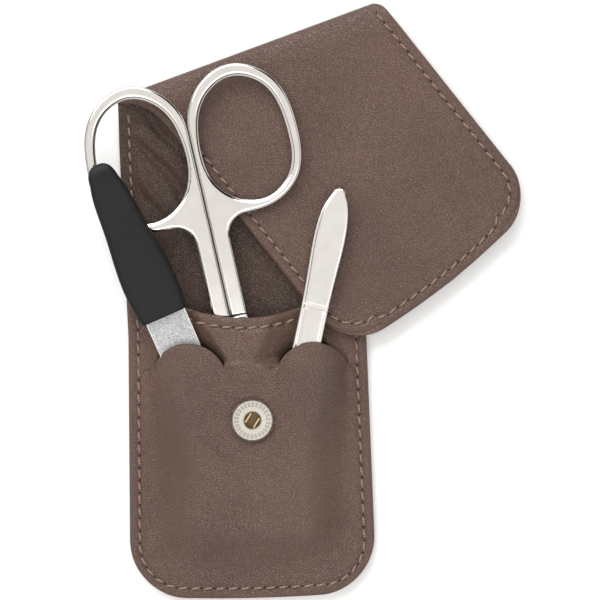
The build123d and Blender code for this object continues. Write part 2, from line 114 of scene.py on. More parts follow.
def soft_box(name, place, aim, size, watts):
    """A rectangular area light at a place, turned to a point."""
    data = bpy.data.lights.new(name, "AREA")
    data.shape = "RECTANGLE"
    data.size, data.size_y = size
    data.energy = watts
    lamp = bpy.data.objects.new(name, data)
    lamp.location = place
    away = np.array(place) - np.array(aim)
    away = away / np.linalg.norm(away)
    lamp.rotation_euler = (acos(away[2]), 0, atan2(away[1], away[0]) + pi / 2)
    bpy.context.collection.objects.link(lamp)


soft_box("key_light", (-0.28, 0.68, 0.62), (0.01, 0.05, 0), (1.1, 0.6), 9.0)
soft_box("fill_light", (0.05, -0.36, 0.75), (0.01, 0.03, 0), (0.9, 0.6), 2.2)

world = bpy.data.worlds.new("room")
bpy.context.scene.world = world
world.use_nodes = True
room = world.node_tree
ways = node(room, "TexCoord")
lean = node(room, "VectorMath", operation="DOT_PRODUCT", _0=ways.outputs["Generated"], _1=(0.10, -0.07, 1.0))
tones = node(room, "ValToRGB", Fac=lean.outputs["Value"], stops=[(0.0, (0.03, 0.029, 0.028)), *(
    (up, (tone, tone * 0.98, tone * 0.95))
    for up, tone in ((0.10, 0.08), (0.22, 0.88), (0.43, 0.90), (0.47, 0.03), (0.61, 0.03), (0.65, 0.95))
), (0.86, (1.0, 0.98, 0.955))])
card = node(room, "VectorMath", operation="DOT_PRODUCT", _0=ways.outputs["Generated"], _1=(0.55, 0.62, 0.56))
card_shade = node(
    room, "MapRange", Value=card.outputs["Value"], From_Min=0.93, From_Max=0.95, To_Min=1.0, To_Max=0.02)
toned = node(room, "VectorMath", operation="SCALE", _0=tones, Scale=card_shade)
fill(room, room.nodes["Background"], Color=toned, Strength=1.08)
bpy.context.scene.view_settings.view_transform = "Standard"


# ------------------------------------------------------------------ leather and lining
# Taupe calf leather with a fine grain of pebbles parted by creases, darkened in the colour as painted shade, and a
# darker lining with the same grain. Cut edges are a little darker, and raw or painted; the raw edges at the slits
# are darker still as painted shade.
def group(name, **inputs):
    """An empty node group that puts out a colour, a roughness and a normal, with its input and output nodes."""
    made = bpy.data.node_groups.new(name, "ShaderNodeTree")
    for label, value in inputs.items():
        kind = "NodeSocketFloat" if isinstance(value, float) else "NodeSocketColor"
        made.interface.new_socket(label.replace("_", " "), in_out="INPUT", socket_type=kind).default_value = value
    for label, kind in (("Colour", "Color"), ("Roughness", "Float"), ("Normal", "Vector")):
        made.interface.new_socket(label, in_out="OUTPUT", socket_type="NodeSocket" + kind)
    return made, made.nodes.new("NodeGroupInput"), made.nodes.new("NodeGroupOutput")


grain, grain_in, grain_out = group(
    "pebbled_grain_and_shade", Pebble_Scale=1700.0, Depth=0.5, Colour=(0.16, 0.11, 0.09, 1), Roughness=0.55)
place = node(grain, "TexCoord").outputs["Object"]
warp = node(grain, "TexNoise", Vector=place, Scale=600.0, Detail=2.0)
warped = node(
    grain, "VectorMath", operation="MULTIPLY_ADD", _0=warp.outputs["Color"], _1=(0.0013, 0.0008, 0.0008),
    _2=place)
stretched = node(grain, "Mapping", Vector=warped, Scale=(0.95, 1.35, 1.0))
pebbles = node(
    grain, "TexVoronoi", feature="DISTANCE_TO_EDGE", Vector=stretched,
    Scale=grain_in.outputs["Pebble Scale"])
pores = node(grain, "TexNoise", Vector=stretched, Scale=480.0, Detail=3.0, Roughness=0.55)
broad = node(grain, "TexNoise", Vector=place, Scale=38.0, Detail=4.0, Roughness=0.6)
crease = node(grain, "MapRange", interpolation_type="SMOOTHSTEP", Value=pebbles, From_Max=0.15)
relief = node(grain, "Math", operation="MULTIPLY_ADD", _0=pores, _1=2.0, _2=crease)
bump = node(grain, "Bump", Height=relief, Strength=grain_in.outputs["Depth"], Distance=0.00012)
shade = node(grain, "MapRange", Value=broad, To_Min=0.82, To_Max=1.12, From_Min=0.3, From_Max=0.7)
# Painted shade: the colour is darkened in the grain's creases.
painted_shade = node(grain, "MapRange", Value=crease, To_Min=0.70, To_Max=1.02)
both = node(grain, "Math", operation="MULTIPLY", _0=shade, _1=painted_shade)
tint = node(grain, "Mix", data_type="RGBA", blend_type="MULTIPLY", A=grain_in.outputs["Colour"], B=both, Factor=1.0)
rough = node(grain, "Math", operation="MULTIPLY_ADD", _0=crease, _1=-0.06, _2=grain_in.outputs["Roughness"])
fill(grain, grain_out, Colour=tint.outputs["Result"], Roughness=rough, Normal=bump)


def finished(name, recipe, plain, **values):
    """A material whose colour, roughness and bump come from a node group."""
    made, tree, shader = material(name, **plain)
    out = node(tree, "Group", node_tree=recipe, **values).outputs
    fill(tree, shader, Base_Color=out["Colour"], Roughness=out["Roughness"], Normal=out["Normal"])
    return made


def hide(name, colour, depth, roughness, scale=1700.0):
    """A leather made with the pebbled grain."""
    return finished(
        name, grain, {"Specular_IOR_Level": 0.46}, Colour=(*colour, 1), Depth=depth, Roughness=roughness,
        Pebble_Scale=scale)


leather = hide("taupe_leather", (0.117, 0.068, 0.0515), 0.9, 0.47, 1500.0)
lining = hide("brown_lining", (0.062, 0.034, 0.0235), 0.95, 0.44, 1500.0)
# The raw edge is coloured dark so the slits and tongues show a painted shadow line along them.
raw_edge_and_shade = hide("raw_leather_edge_and_shade", (0.085, 0.049, 0.034), 0.3, 0.8, 2200.0)
painted_edge = hide("painted_leather_edge", (0.070, 0.043, 0.032), 0.2, 0.5, 2200.0)


# ------------------------------------------------------------------ back panel and the lower half of the fold
# The back is one piece of leather with a lining glued to it, cut with two round corners, and it
# rolls over at its slanted top edge into the flap. It lies on the table.
back_t = 1.5
flap_under, flap_top, fold_z = 3.5, 5.0, 2.5
fold_lean, fold_y, roll_run, fold_r = radians(18.9), 87.7, 6.5, 2.5
fold_out = np.array([-sin(fold_lean), cos(fold_lean)])
fold_along = np.array([cos(fold_lean), sin(fold_lean)])
case_low, corner_r, half_low = -42.6, 13.0, 29.2
bottom_sag, sag_gap = 1.2, 1.0
side_y, side_half = [-28, 20, 66, 140], [half_low, 28.4, 29.5]
seam_in, pitch = 2.4, 3.0


def smooth(t):
    """0 below 0, 1 above 1, and t squared times (3 - 2t) between."""
    t = np.clip(t, 0.0, 1.0)
    return t * t * (3 - 2 * t)


def waves(x, y, size, seed):
    """A soft unevenness about 1 high: a sum of 9 sine waves of about one size, in seeded directions."""
    chance = np.random.default_rng(seed)
    total = np.zeros(np.broadcast(x, y).shape)
    for turn, k, start in zip(chance.uniform(0, pi, 9), chance.uniform(0.6, 1.7, 9), chance.uniform(0, 6.3, 9)):
        total = total + np.sin((x * cos(turn) + y * sin(turn)) * k * 2 * pi / size + start)
    return total / 4.5


def nearest(x, y, path):
    """Distance from each point to a line of points, and how far along that line it is nearest."""
    p = np.stack([np.ravel(x), np.ravel(y)], 1)[:, None, :]
    a, step = path[:-1], path[1:] - path[:-1]
    length = np.linalg.norm(step, axis=1)
    t = np.clip(((p - a) * step).sum(2) / np.maximum(length**2, 1e-12), 0, 1)
    gap = np.linalg.norm(p - a - t[..., None] * step, axis=2)
    best = gap.argmin(1)
    rows = np.arange(len(best))
    along = lengths(path)[best] + t[rows, best] * length[best]
    shape = np.broadcast(x, y).shape
    return gap[rows, best].reshape(shape), along.reshape(shape)


def bell(d, wide):
    """1 at 0, falling on both sides as exp(-(d / wide) squared)."""
    return np.exp(-((d / wide) ** 2))


def edge_fall(d, wide):
    """1 at an edge, falling to 0 over a width as the square of what is left of it."""
    return (1 - np.clip(d / wide, 0, 1)) ** 2


def lengths(path):
    """Length along a line of points up to each of them."""
    return np.concatenate([[0], np.cumsum(np.linalg.norm(np.diff(path, axis=0), axis=1))])


def round_in(d, radius):
    """How far a round corner comes in at a distance from where it starts: the rule of a circle."""
    return radius - np.sqrt(np.maximum(radius**2 - (radius - np.clip(d, 0, radius)) ** 2, 0))


def side_width(y, right=False):
    """Half the width of the case at a height: straight between four heights, and rounded at the bottom."""
    width = np.interp(y, side_y, [*side_half, 32.0 if right else 29.5])
    return width - round_in(y - (case_low + sag_gap), corner_r)


def ends_close(count, power=1.7):
    """Numbers from -1 to 1 that crowd towards both ends: 1 - (1 - |t|) to a power, with t's sign."""
    t = np.linspace(-1, 1, count)
    return np.sign(t) * (1 - (1 - np.abs(t)) ** power)


def rows_from_round(radius, length, arc_steps, steps):
    """Shares of a length: even steps round a quarter circle at its start, then even steps to its end."""
    turn = np.linspace(0, pi / 2, arc_steps)[:-1]
    return np.concatenate([radius * (1 - np.cos(turn)), np.linspace(radius, length, steps)]) / length


def bottom_crown(x, above):
    """How far the bottom edge sags: most in the middle by a square law, fading over the corners' height."""
    return bottom_sag * ((x / half_low) ** 2 - 1) * np.clip(1 - above / corner_r, 0, 1) ** 2


def grid_faces(index):
    """Quads between neighbouring rows and columns of an array of vertex numbers."""
    a, b, c, d = index[:-1, :-1], index[:-1, 1:], index[1:, 1:], index[1:, :-1]
    return np.stack([a, b, c, d], -1).reshape(-1, 4)


def loop_faces(rows, columns):
    """Quads of a grid whose last column joins its first."""
    index = np.arange(rows * columns).reshape(rows, columns)
    return grid_faces(np.concatenate([index, index[:, :1]], 1))


def make_piece(name, points, faces, materials, kinds=None):
    """A smooth-shaded mesh object from points in millimetres and quads, with a material number for each face."""
    mesh = bpy.data.meshes.new(name)
    mesh.from_pydata((points.reshape(-1, 3) * MM).tolist(), [], faces.tolist())
    for one in materials:
        mesh.materials.append(one)
    mesh.polygons.foreach_set("use_smooth", np.ones(len(faces), bool))
    if kinds is not None:
        mesh.polygons.foreach_set("material_index", kinds.astype(np.int32))
    mesh.update()
    made = bpy.data.objects.new(name, mesh)
    bpy.context.collection.objects.link(made)
    return made


def close_up(made, join=None):
    """Join a piece's points nearer than a gap, or put a face over every open end, and turn all faces outwards."""
    data = bmesh.new()
    data.from_mesh(made.data)
    if join:
        bmesh.ops.remove_doubles(data, verts=data.verts, dist=join)
    else:
        bmesh.ops.holes_fill(data, edges=[edge for edge in data.edges if edge.is_boundary], sides=0)
    bmesh.ops.recalc_face_normals(data, faces=data.faces)
    data.to_mesh(made.data)
    data.free()


def shell(outer, inner, bulge, steps=4):
    """A closed sheet between two grids, whose edge bulges outwards by a half sine wave.

    Returns points, quads and a number for each quad: 0 outside, 1 inside, 2 edge. The outer
    grid's rows and columns turn the right-handed way about its outward normal.
    """
    rows, columns = outer.shape[:2]
    number = np.arange(rows * columns).reshape(rows, columns)
    border = np.concatenate([number[0, :-1], number[:-1, -1], number[-1, :0:-1], number[:0:-1, 0]])
    inward = np.concatenate([
        (outer[1] - outer[0])[:-1], (outer[:, -2] - outer[:, -1])[:-1],
        (outer[-2] - outer[-1])[:0:-1], (outer[:, 1] - outer[:, 0])[:0:-1],
    ])
    out = -inward / np.maximum(np.linalg.norm(inward, axis=1, keepdims=True), 1e-9)
    top, low = outer.reshape(-1, 3)[border], inner.reshape(-1, 3)[border]
    t = np.linspace(0, 1, steps + 1)[1:-1, None, None]
    rim = top + (low - top) * t + out * bulge * np.sin(pi * t)
    points = np.concatenate([outer.reshape(-1, 3), inner.reshape(-1, 3), rim.reshape(-1, 3)])
    count = rows * columns
    loops = [border] + [2 * count + i * len(border) + np.arange(len(border)) for i in range(steps - 1)]
    loops.append(border + count)
    ring = np.stack(loops)
    ring = np.concatenate([ring, ring[:, :1]], 1)
    top_faces = grid_faces(number)
    low_faces = grid_faces(number + count)[:, ::-1]
    rim_faces = grid_faces(ring)[:, ::-1]
    kinds = np.repeat([0, 1, 2], [len(top_faces), len(low_faces), len(rim_faces)])
    return points, np.concatenate([top_faces, low_faces, rim_faces]), kinds


def pressed(d, along):
    """How far a seam pulls the leather down: a soft valley, deeper at each needle hole, puffed beside it."""
    valley, hole, puff = 0.20, 0.14, 0.07
    at_hole = 0.5 + 0.5 * np.cos(2 * pi * along / pitch)
    return valley * bell(d, 0.6) + hole * bell(d, 0.5) * at_hole - puff * bell(d - 1.5, 0.8)


def case_side(inset, y):
    """Points down the left side of the case, round the bottom and up the right side, at an inset."""
    arc = np.linspace(0, pi / 2, 16)
    corner = corner_r - inset
    cx = half_low - inset - corner
    foot = case_low + inset - (bottom_sag - sag_gap)
    cy = foot + bottom_sag * (cx / half_low) ** 2 + corner
    width = np.interp(y, side_y[:3], side_half) - inset
    left = np.stack([-width, y], 1)[y > cy]
    round_left = np.stack([-cx - corner * np.cos(arc), cy - corner * np.sin(arc)], 1)
    x = np.linspace(-cx, cx, 30)[1:-1]
    half = np.concatenate([left[::-1], round_left])
    middle = np.stack([x, foot + bottom_sag * (x / half_low) ** 2], 1)
    return np.concatenate([half, middle, half[::-1] * [-1, 1]])


def back_grid(depth):
    """The back as a grid from its bottom to the fold's middle: rows go up, then round a quarter of an ellipse.

    The slanted fold crosses the case, so the flat rows turn evenly from level to the fold's slope.
    """
    u = ends_close(91)
    flat_length = 120
    t = rows_from_round(corner_r, flat_length, 22, 120)
    round_up = np.linspace(0, pi / 2, 15)[1:]
    rows = []
    x = np.broadcast_to(u * 29.0, (len(t), len(u)))
    base = case_low + sag_gap
    for _ in range(3):
        fold_foot = fold_y - roll_run / cos(fold_lean) + x * tan(fold_lean)
        y = base + t[:, None] * (fold_foot - base)
        x = u * np.where(u < 0, side_width(y), side_width(y, True))
    y = y + bottom_crown(x, y - base)
    rows.append(np.stack([x, y, np.full_like(x, depth)], 2))
    for turn in round_up:
        s = (roll_run - depth) * sin(turn)
        y_row = fold_foot[-1] + s / cos(fold_lean)
        spread = 2.9 * smooth((s - roll_run + 8) / 8) * (u > 0) * u**6
        corner = round_in(roll_run - roll_run * sin(turn), fold_r) * cos(fold_lean)
        spread = spread - corner * (u > 0) * u**3
        x_row = u * np.where(u < 0, side_width(y_row), side_width(y_row, True)) + spread
        y_row = fold_y + x_row * tan(fold_lean) + (s - roll_run) / cos(fold_lean)
        z = fold_z - (fold_z - depth) * cos(turn)
        rows.append(np.stack([x_row, y_row, np.full_like(x_row, z)], 1)[None])
    return np.concatenate(rows)


back_low, back_top = back_grid(0.0), back_grid(back_t)
back_seam = case_side(seam_in, np.linspace(-28, 77, 60))
back_edge = case_side(0.0, np.linspace(-28, 90, 60))
inside_x, inside_y = back_top[..., 0], back_top[..., 1]
edge_gap, _ = nearest(inside_x, inside_y, back_edge)
above_mouth = smooth((inside_y - 30) / 4) * (back_top[..., 2] < back_t + 0.01)
back_top[..., 2] -= pressed(*nearest(inside_x, inside_y, back_seam)) * 0.8 * above_mouth
back_top[..., 2] -= 0.25 * edge_fall(edge_gap, 0.7) * above_mouth
crease_way = inside_x * 0.80 + inside_y * 0.60 + 1.6 * waves(inside_x, inside_y, 22, 8)
creases = 1.5 * np.abs(np.sin(crease_way * pi / 6.6)) ** 0.7
creases = creases + 0.35 * np.sin(crease_way * 2 * pi / 3.1 + 1) - 0.7
creased = smooth((inside_y - 42) / 14) * smooth((83 - inside_y + inside_x * 0.34) / 8) * smooth((edge_gap - 3.2) / 3)
back_top[..., 2] += creases * creased * smooth((4 - inside_x) / 12)
back_top[..., 2] += 0.10 * waves(inside_x, inside_y, 11, 9) * above_mouth
back_points, back_faces, back_kinds = shell(back_top, back_low, 0.12)
case_back = make_piece("case_back", back_points, back_faces, [lining, leather, painted_edge], back_kinds)
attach(case_back, "case")
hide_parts("case_leather", "case_lining")


# ------------------------------------------------------------------ flap and the upper half of the fold
# The same leather comes back over the top of the case as a loose flap, lined underneath, with
# its edges turned and sewn.
flap_lean, flap_mid, flap_half, flap_corner_r = radians(37.0), 57.3, 29.1, 10.5
flap_foot, flap_crown = 1.6, 2.4
flap_way = np.array([sin(flap_lean), -cos(flap_lean)])
flap_side = np.array([cos(flap_lean), sin(flap_lean)])


def to_case(across, along):
    """Plan points of the flap's own frame in the case's."""
    return (flap_mid + across)[..., None] * flap_side + along[..., None] * flap_way


def past_fold(p):
    """Distance of plan points from the outside of the fold, negative inside."""
    return (p - [0, fold_y]) @ fold_out


def hermite(t, start, way, stop, stop_way):
    """The cubic from a start to a stop that leaves and arrives in two given directions."""
    return (
        start * (2 * t**3 - 3 * t**2 + 1) + way * (t**3 - 2 * t**2 + t)
        + stop * (3 * t**2 - 2 * t**3) + stop_way * (t**3 - t**2)
    )


def curled_edge():
    """The flap's left edge from the fold: a Hermite curve that starts across the case and ends down the flap."""
    start, stop = np.array([-29.5, 77.4]), to_case(np.array(-flap_half), np.array(-66.0))
    t = np.linspace(0, 1, 40)[:, None]
    reach = np.linalg.norm(stop - start) * 1.05
    return hermite(t, start, np.array([1, -0.12]) * reach, stop, flap_way * reach)


left_line = np.concatenate([curled_edge(), to_case(np.full(30, -flap_half), np.linspace(-66, 4, 31)[1:])])
left_out = past_fold(left_line)
left_across = left_line @ flap_side - flap_mid
left_down = left_line @ flap_way


def right_down(past):
    """Where the flap's right edge is at a distance past the fold, which it meets at 18.1 degrees."""
    return (17.80 + 0.3107 * flap_half - 82.97 - past) / 0.9505


def flap_grid(depth):
    """The flap as a grid: rows go over a quarter of an ellipse at the fold, then down the flap to its end."""
    u = (ends_close(91) + 1) / 2
    rows = []
    for turn in np.linspace(0, pi / 2, 15)[:-1]:
        s = -roll_run + (roll_run - depth) * cos(turn)
        outside = min(-roll_run + roll_run * cos(turn), left_out[0])
        left = np.array([np.interp(-outside, -left_out, left_line[:, i]) for i in (0, 1)])
        right = to_case(np.array(flap_half), np.array(right_down(outside))) - fold_along * round_in(-outside, fold_r)
        p = left + (right - left) * u[:, None] + fold_out * (s - outside)
        rows.append(np.concatenate([p, np.full((len(u), 1), fold_z + (fold_z - depth) * sin(turn))], 1))
    rows = np.stack(rows)
    q = rows_from_round(flap_corner_r, 64, 22, 70)[::-1][:, None]
    left_start = np.interp(roll_run, -left_out, left_down)
    down_left = flap_foot - (flap_foot - left_start) * q
    down_right = flap_foot - (flap_foot - right_down(-roll_run)) * q
    a_left = np.interp(down_left, left_down, left_across) + round_in(flap_foot - down_left, flap_corner_r)
    a_right = flap_half - round_in(flap_foot - down_right, flap_corner_r)
    across = a_left + (a_right - a_left) * u
    down = down_left + (down_right - down_left) * u
    down = down + flap_crown * (1 - (across / flap_half) ** 2) * np.clip(1 - q / 0.5, 0, 1) ** 2
    p = to_case(across, down)
    flat = np.concatenate([p, np.full((*across.shape, 1), flap_top - depth)], 2)
    return np.concatenate([rows, flat])


def flap_rim(inset):
    """The flap's edge as a line of points at an inset: down the left, round the end and up the right."""
    arc = np.linspace(0, pi / 2, 14)
    r, w, foot = flap_corner_r - inset, flap_half - inset, flap_foot - inset
    step = np.gradient(left_line[:55], axis=0)
    left = left_line[:55] + np.stack([-step[:, 1], step[:, 0]], 1) / np.linalg.norm(step, axis=1)[:, None] * inset
    left = left[left @ flap_way < foot - r - 0.5]
    first = to_case(-w + r - r * np.cos(arc), foot - r + r * np.sin(arc))
    ends = np.linspace(-w + r, w - r, 24)[1:-1]
    low = to_case(ends, foot + flap_crown * (1 - (ends / w) ** 2) * np.ones(22))
    last = to_case(w - r + r * np.sin(arc), foot - r + r * np.cos(arc))
    right = to_case(np.full(30, w), np.linspace(foot - r, -59, 31)[1:])
    return np.concatenate([left, first, low, last, right])


def flap_height(x, y):
    """The flap's top: flat, rounded at its turned edge, pulled down along its seam and a little uneven."""
    rim_gap, _ = nearest(x, y, flap_rim(0.0))
    soft = 0.18 * (np.minimum(waves(x, y, 34, 3), 1) - 1) * smooth(rim_gap / 8)
    return -0.38 * edge_fall(rim_gap, 0.7) - pressed(*nearest(x, y, flap_rim(seam_in))) + soft


flap_upper, flap_lower = flap_grid(0.0), flap_grid(back_t)
past_roll = smooth((-past_fold(flap_upper[..., :2]) - 1.2) / 3)
flap_upper[..., 2] += flap_height(flap_upper[..., 0], flap_upper[..., 1]) * past_roll
flap_points, flap_faces, flap_kinds = shell(flap_upper, flap_lower, 0.22)
flap = make_piece("flap", flap_points, flap_faces[:, ::-1], [leather, lining, leather], flap_kinds)
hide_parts("flap_leather", "flap_lining")
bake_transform(flap)


# ------------------------------------------------------------------ pocket front
# One panel of leather bonded to its lining, sewn to the back round three sides and bulged by
# the tools. Its mouth dips in the middle, and two half-moon slits cut tongues that lie over the
# file and the tweezers, which come out through them and cross the strip below the mouth.
pocket_t, seam_z, pocket_half = 1.2, 2.82, 28.4
mouth_low, mouth_r = 24.3, 38.0
slit_r, slit_y = 9.3, 12.8
slit_at = ((-14.1, 9.2), (15.6, 8.8))
roof_z, roof_up, roof_right, ridge_drop = 8.85, 0.055, 0.035, 0.17
stud_x, socket_r, stud_hole = 0.9, 5.05, 3.3
scissors_tip, stock = -32.0, 2.0
# A tool's lie is its place, its lean in degrees, its rise along itself and its height.
scissors_rise = (flap_top + 0.25 - stock) / (22.2 - scissors_tip)
file_rise, tweezers_rise = tan(radians(6)), tan(radians(2.86))
scissors_lie = ((-4.02, 25.53), -11.3, scissors_rise, stock - scissors_tip * scissors_rise)
file_lie = ((-19.2, 25.19), -22.2, file_rise, 1.9 + 47 * file_rise)
tweezers_lie = ((17.82, 27.33), 13.4, tweezers_rise, flap_top + 0.15 + 1.7 + 3.8 * tweezers_rise)


def pouch(x, y):
    """The pocket as a plain pouch: a sloping roof times a smooth rise from each side and from the foot."""
    edge = pocket_half - seam_in - 0.6
    side = smooth(smooth((edge - np.abs(x)) / (9.5 + 7 * smooth((slit_y - y) / 25))) ** 0.8)
    foot = smooth((y - case_low - seam_in - 0.6) / 16)
    roof = roof_z + roof_up * y + roof_right * x - ridge_drop * np.maximum(y - slit_y, 0)
    return seam_z + (roof - seam_z) * side * foot


socket_z = float(pouch(stud_x, 0.0))


def in_tool(x, y, at, lean):
    """Plan coordinates across and along a tool that lies at a point and a lean in degrees."""
    c, n = cos(radians(lean)), sin(radians(lean))
    x, y = x - at[0], y - at[1]
    return x * c - y * n, x * n + y * c


def front_below(x, y):
    """Height of the panel below the slits, flattened where the press stud clamps it."""
    away = smooth((np.hypot(x - stud_x, y) - socket_r - 2.4) / 5.0)
    level = np.minimum(y, slit_y)
    return socket_z + (pouch(x, level) + roof_up * (y - level) - socket_z) * away


def front_above(x, y):
    """Height of the strip above the slits: the soft least of the pouch and what lies over it, less a step.

    The undersides of the file, the tweezers and the flap each rise with the distance beside them.
    The soft least is -k times the log of the sum of exp(-height / k).
    """
    across, along = in_tool(x, y, *file_lie[:2])
    clear_of = 5.1 + 1.6 * smooth((along + 3) / 2.5)
    file_low = file_lie[3] + along * file_rise - 1.3 + 1.2 * np.maximum(np.abs(across) - clear_of, 0)
    across, along = in_tool(x, y, *tweezers_lie[:2])
    tweezers_low = 7.04 + along * tweezers_rise - 2.23 + 0.65 * np.maximum(np.abs(across + 1) - 3.6, 0)
    p = np.stack([x, y], -1)
    beside = np.maximum(flap_mid - flap_half - p @ flap_side, p @ flap_way - 4)
    flap_low = flap_under - 0.3 + 0.9 * np.maximum(beside, 0)
    heights = np.stack([pouch(x, y), file_low, tweezers_low, flap_low])
    k = 0.22
    least = heights.min(0)
    above = np.maximum(y - slit_line(x), 0)
    step = 0.08 + 0.55 * bell(above, 1.3) * smooth((y - slit_y - 0.1) / 1.2)
    return np.maximum(least - k * np.log(np.exp(-(heights - least) / k).sum(0)), seam_z) - step


def mouth_line(x, inset=0.0):
    """The mouth's edge: the lower arc of a large circle."""
    return mouth_low + mouth_r - np.sqrt((mouth_r + inset) ** 2 - x**2)


def slit_line(x):
    """The line that parts the tongues from the strip: level, with an arc of a circle over each slit."""
    y = np.full(np.shape(x), slit_y)
    for cx, cy in slit_at:
        y = np.maximum(y, cy + np.sqrt(np.maximum(slit_r**2 - (x - cx) ** 2, 0)))
    return y


front_seam = case_side(seam_in, np.linspace(-28, 40, 50))
front_edge = case_side(0.0, np.linspace(-28, 45, 50))
mouth_x = np.linspace(-27.0, 27.0, 60)
mouth_seam = np.stack([mouth_x, mouth_line(mouth_x, seam_in)], 1)
mouth_seam = mouth_seam[np.abs(mouth_seam[:, 0]) < 25.6]
slit_half = [sqrt(slit_r**2 - (slit_y - cy) ** 2) for _, cy in slit_at]
slit_ends = [(cx + side * half, slit_y) for (cx, _), half in zip(slit_at, slit_half) for side in (-1, 1)]


def front_detail(x, y):
    """Small relief of the panel: seams, the mouth's rounded edge, creases at the slits' ends and softness."""
    relief = -pressed(*nearest(x, y, front_seam)) - pressed(*nearest(x, y, mouth_seam)) * 0.9
    relief -= 0.45 * edge_fall(nearest(x, y, front_edge)[0], 0.9) + 0.40 * edge_fall(np.abs(mouth_line(x) - y), 0.8)
    inner = smooth((pocket_half - seam_in - 2 - np.abs(x)) / 6)
    relief += 0.13 * (waves(x, y, 26, 5) - 0.4) * inner
    for i, (ex, ey) in enumerate(slit_ends):
        out = -1 if i % 2 == 0 else 1
        u, v = (x - ex) * out, y - ey
        fan = bell(np.hypot(u, v) - 1.6, 2.2) * np.cos(np.arctan2(v, u) * 5.0 + 0.4) * (u > -1.5)
        relief += 0.20 * fan
        relief -= 0.55 * np.exp(-((v + 0.35 * u) ** 2) / 0.35 - (u - 0.9) ** 2 / 3.5)
    return relief - 0.30 * bell(np.hypot(x - stud_x, y) - socket_r - 0.1, 0.7)


front_u = np.unique(np.concatenate([ends_close(141, 1.4), [e[0] / side_width(slit_y) for e in slit_ends]]))
base_x = front_u * side_width(slit_y)
part_y = slit_line(base_x)
t_low = rows_from_round(corner_r, 55, 26, 82)[:-1]
t_low = np.concatenate([t_low, [0.9955, 1]])[:, None]
y_low = case_low + sag_gap + t_low * (part_y - case_low - sag_gap)
x_low = front_u * side_width(y_low)
y_low = y_low + bottom_crown(x_low, y_low - case_low - sag_gap)
t_high = np.linspace(0, 1, 34)[:, None] ** 0.85
y_high = part_y + t_high * (mouth_line(base_x) - part_y)
x_high = front_u * side_width(y_high)
z_low = front_below(x_low, y_low) + front_detail(x_low, y_low)
in_slit = part_y > slit_y + 1e-6
z_low[-1] -= 0.22 * in_slit
z_high = front_above(x_high, y_high) + front_detail(x_high, y_high)
joint_fade = smooth(t_high * 6)
z_high = np.where(in_slit, z_high, z_low[-1] + (z_high - z_low[-1]) * joint_fade)
low_count = x_low.size
low_index = np.arange(low_count).reshape(x_low.shape)
high_index = low_count + np.arange(x_high.size).reshape(x_high.shape)
high_index[0] = np.where(in_slit, high_index[0], low_index[-1])
front_points = np.stack([
    np.concatenate([low.ravel(), high.ravel()]) for low, high in ((x_low, x_high), (y_low, y_high), (z_low, z_high))
], 1)
front_faces = np.concatenate([grid_faces(low_index), grid_faces(high_index)])
front_kinds = np.zeros((len(low_index) + len(high_index) - 2, len(base_x) - 1))
# The faces at the slits take the raw edge colour, which paints a shadow line along them.
front_kinds[len(low_index) - 2:len(low_index)] = (in_slit[:-1] | in_slit[1:]) * 2
front_kinds = front_kinds.ravel()
face_middle = front_points[front_faces].mean(1)
outside_stud = np.hypot(face_middle[:, 0] - stud_x, face_middle[:, 1]) > stud_hole
front_faces, front_kinds = front_faces[outside_stud], front_kinds[outside_stud]
used, packed = np.unique(front_faces, return_inverse=True)
pocket = make_piece(
    "pocket", front_points[used], packed.reshape(front_faces.shape),
    [leather, leather, raw_edge_and_shade, raw_edge_and_shade, lining, lining, lining], front_kinds)
wall = pocket.modifiers.new("wall", "SOLIDIFY")
wall.thickness, wall.offset = pocket_t * MM, -1.0
wall.material_offset, wall.material_offset_rim = 4, 1
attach(pocket, "case")
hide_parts("pocket_front")


# ------------------------------------------------------------------ stitches
# One lighter waxed thread is sewn by machine in short slightly slanting stitches, 3 mm apart:
# up the case and round its bottom, along the mouth, and round the flap. Each dives into a hole, a dark dome of
# painted shade; the grooves between the thread's plies are painted shade too.
thread, tree, shader = material("waxed_thread", Roughness=0.62)
lay = node(tree, "Attribute", attribute_name="lay")
lay_parts = node(tree, "SeparateXYZ", _0=lay.outputs["Vector"])
twist = node(tree, "Math", operation="MULTIPLY_ADD", _0=lay_parts.outputs["X"], _1=1.9, _2=lay_parts.outputs["Y"])
strand = node(tree, "Math", operation="MULTIPLY", _0=twist, _1=2 * pi)
ply = node(tree, "Math", operation="SINE", _0=strand)
ply_shade = node(tree, "MapRange", Value=ply, From_Min=-1.0)
# Painted shade: the thread's colour darkens in the grooves of its twist.
ply_colour_and_shade = node(tree, "ValToRGB", stops=[(0, (0.110, 0.066, 0.050)), (1, (0.330, 0.225, 0.180))], Fac=ply_shade)
bump = node(tree, "Bump", Height=ply_shade, Strength=0.5, Distance=0.00006)
fill(tree, shader, Base_Color=ply_colour_and_shade, Normal=bump)
# Painted shade: the needle holes are dark domes.
painted_hole_shade = hide("needle_hole_shade", (0.030, 0.020, 0.017), 0.2, 0.8)
stitch_length = 2.35


def along_path(path, start=0.0):
    """Points and directions at the middle of each stitch on a line, from a length along it to its end."""
    length = lengths(path)
    s = (np.arange(ceil(start / pitch), int(length[-1] / pitch)) + 0.5) * pitch
    where = np.stack([np.interp(s, length, path[:, i]) for i in (0, 1)], 1)
    ahead = np.stack([np.interp(s + 0.6, length, path[:, i]) for i in (0, 1)], 1) - where
    return where, ahead / np.linalg.norm(ahead, axis=1, keepdims=True)


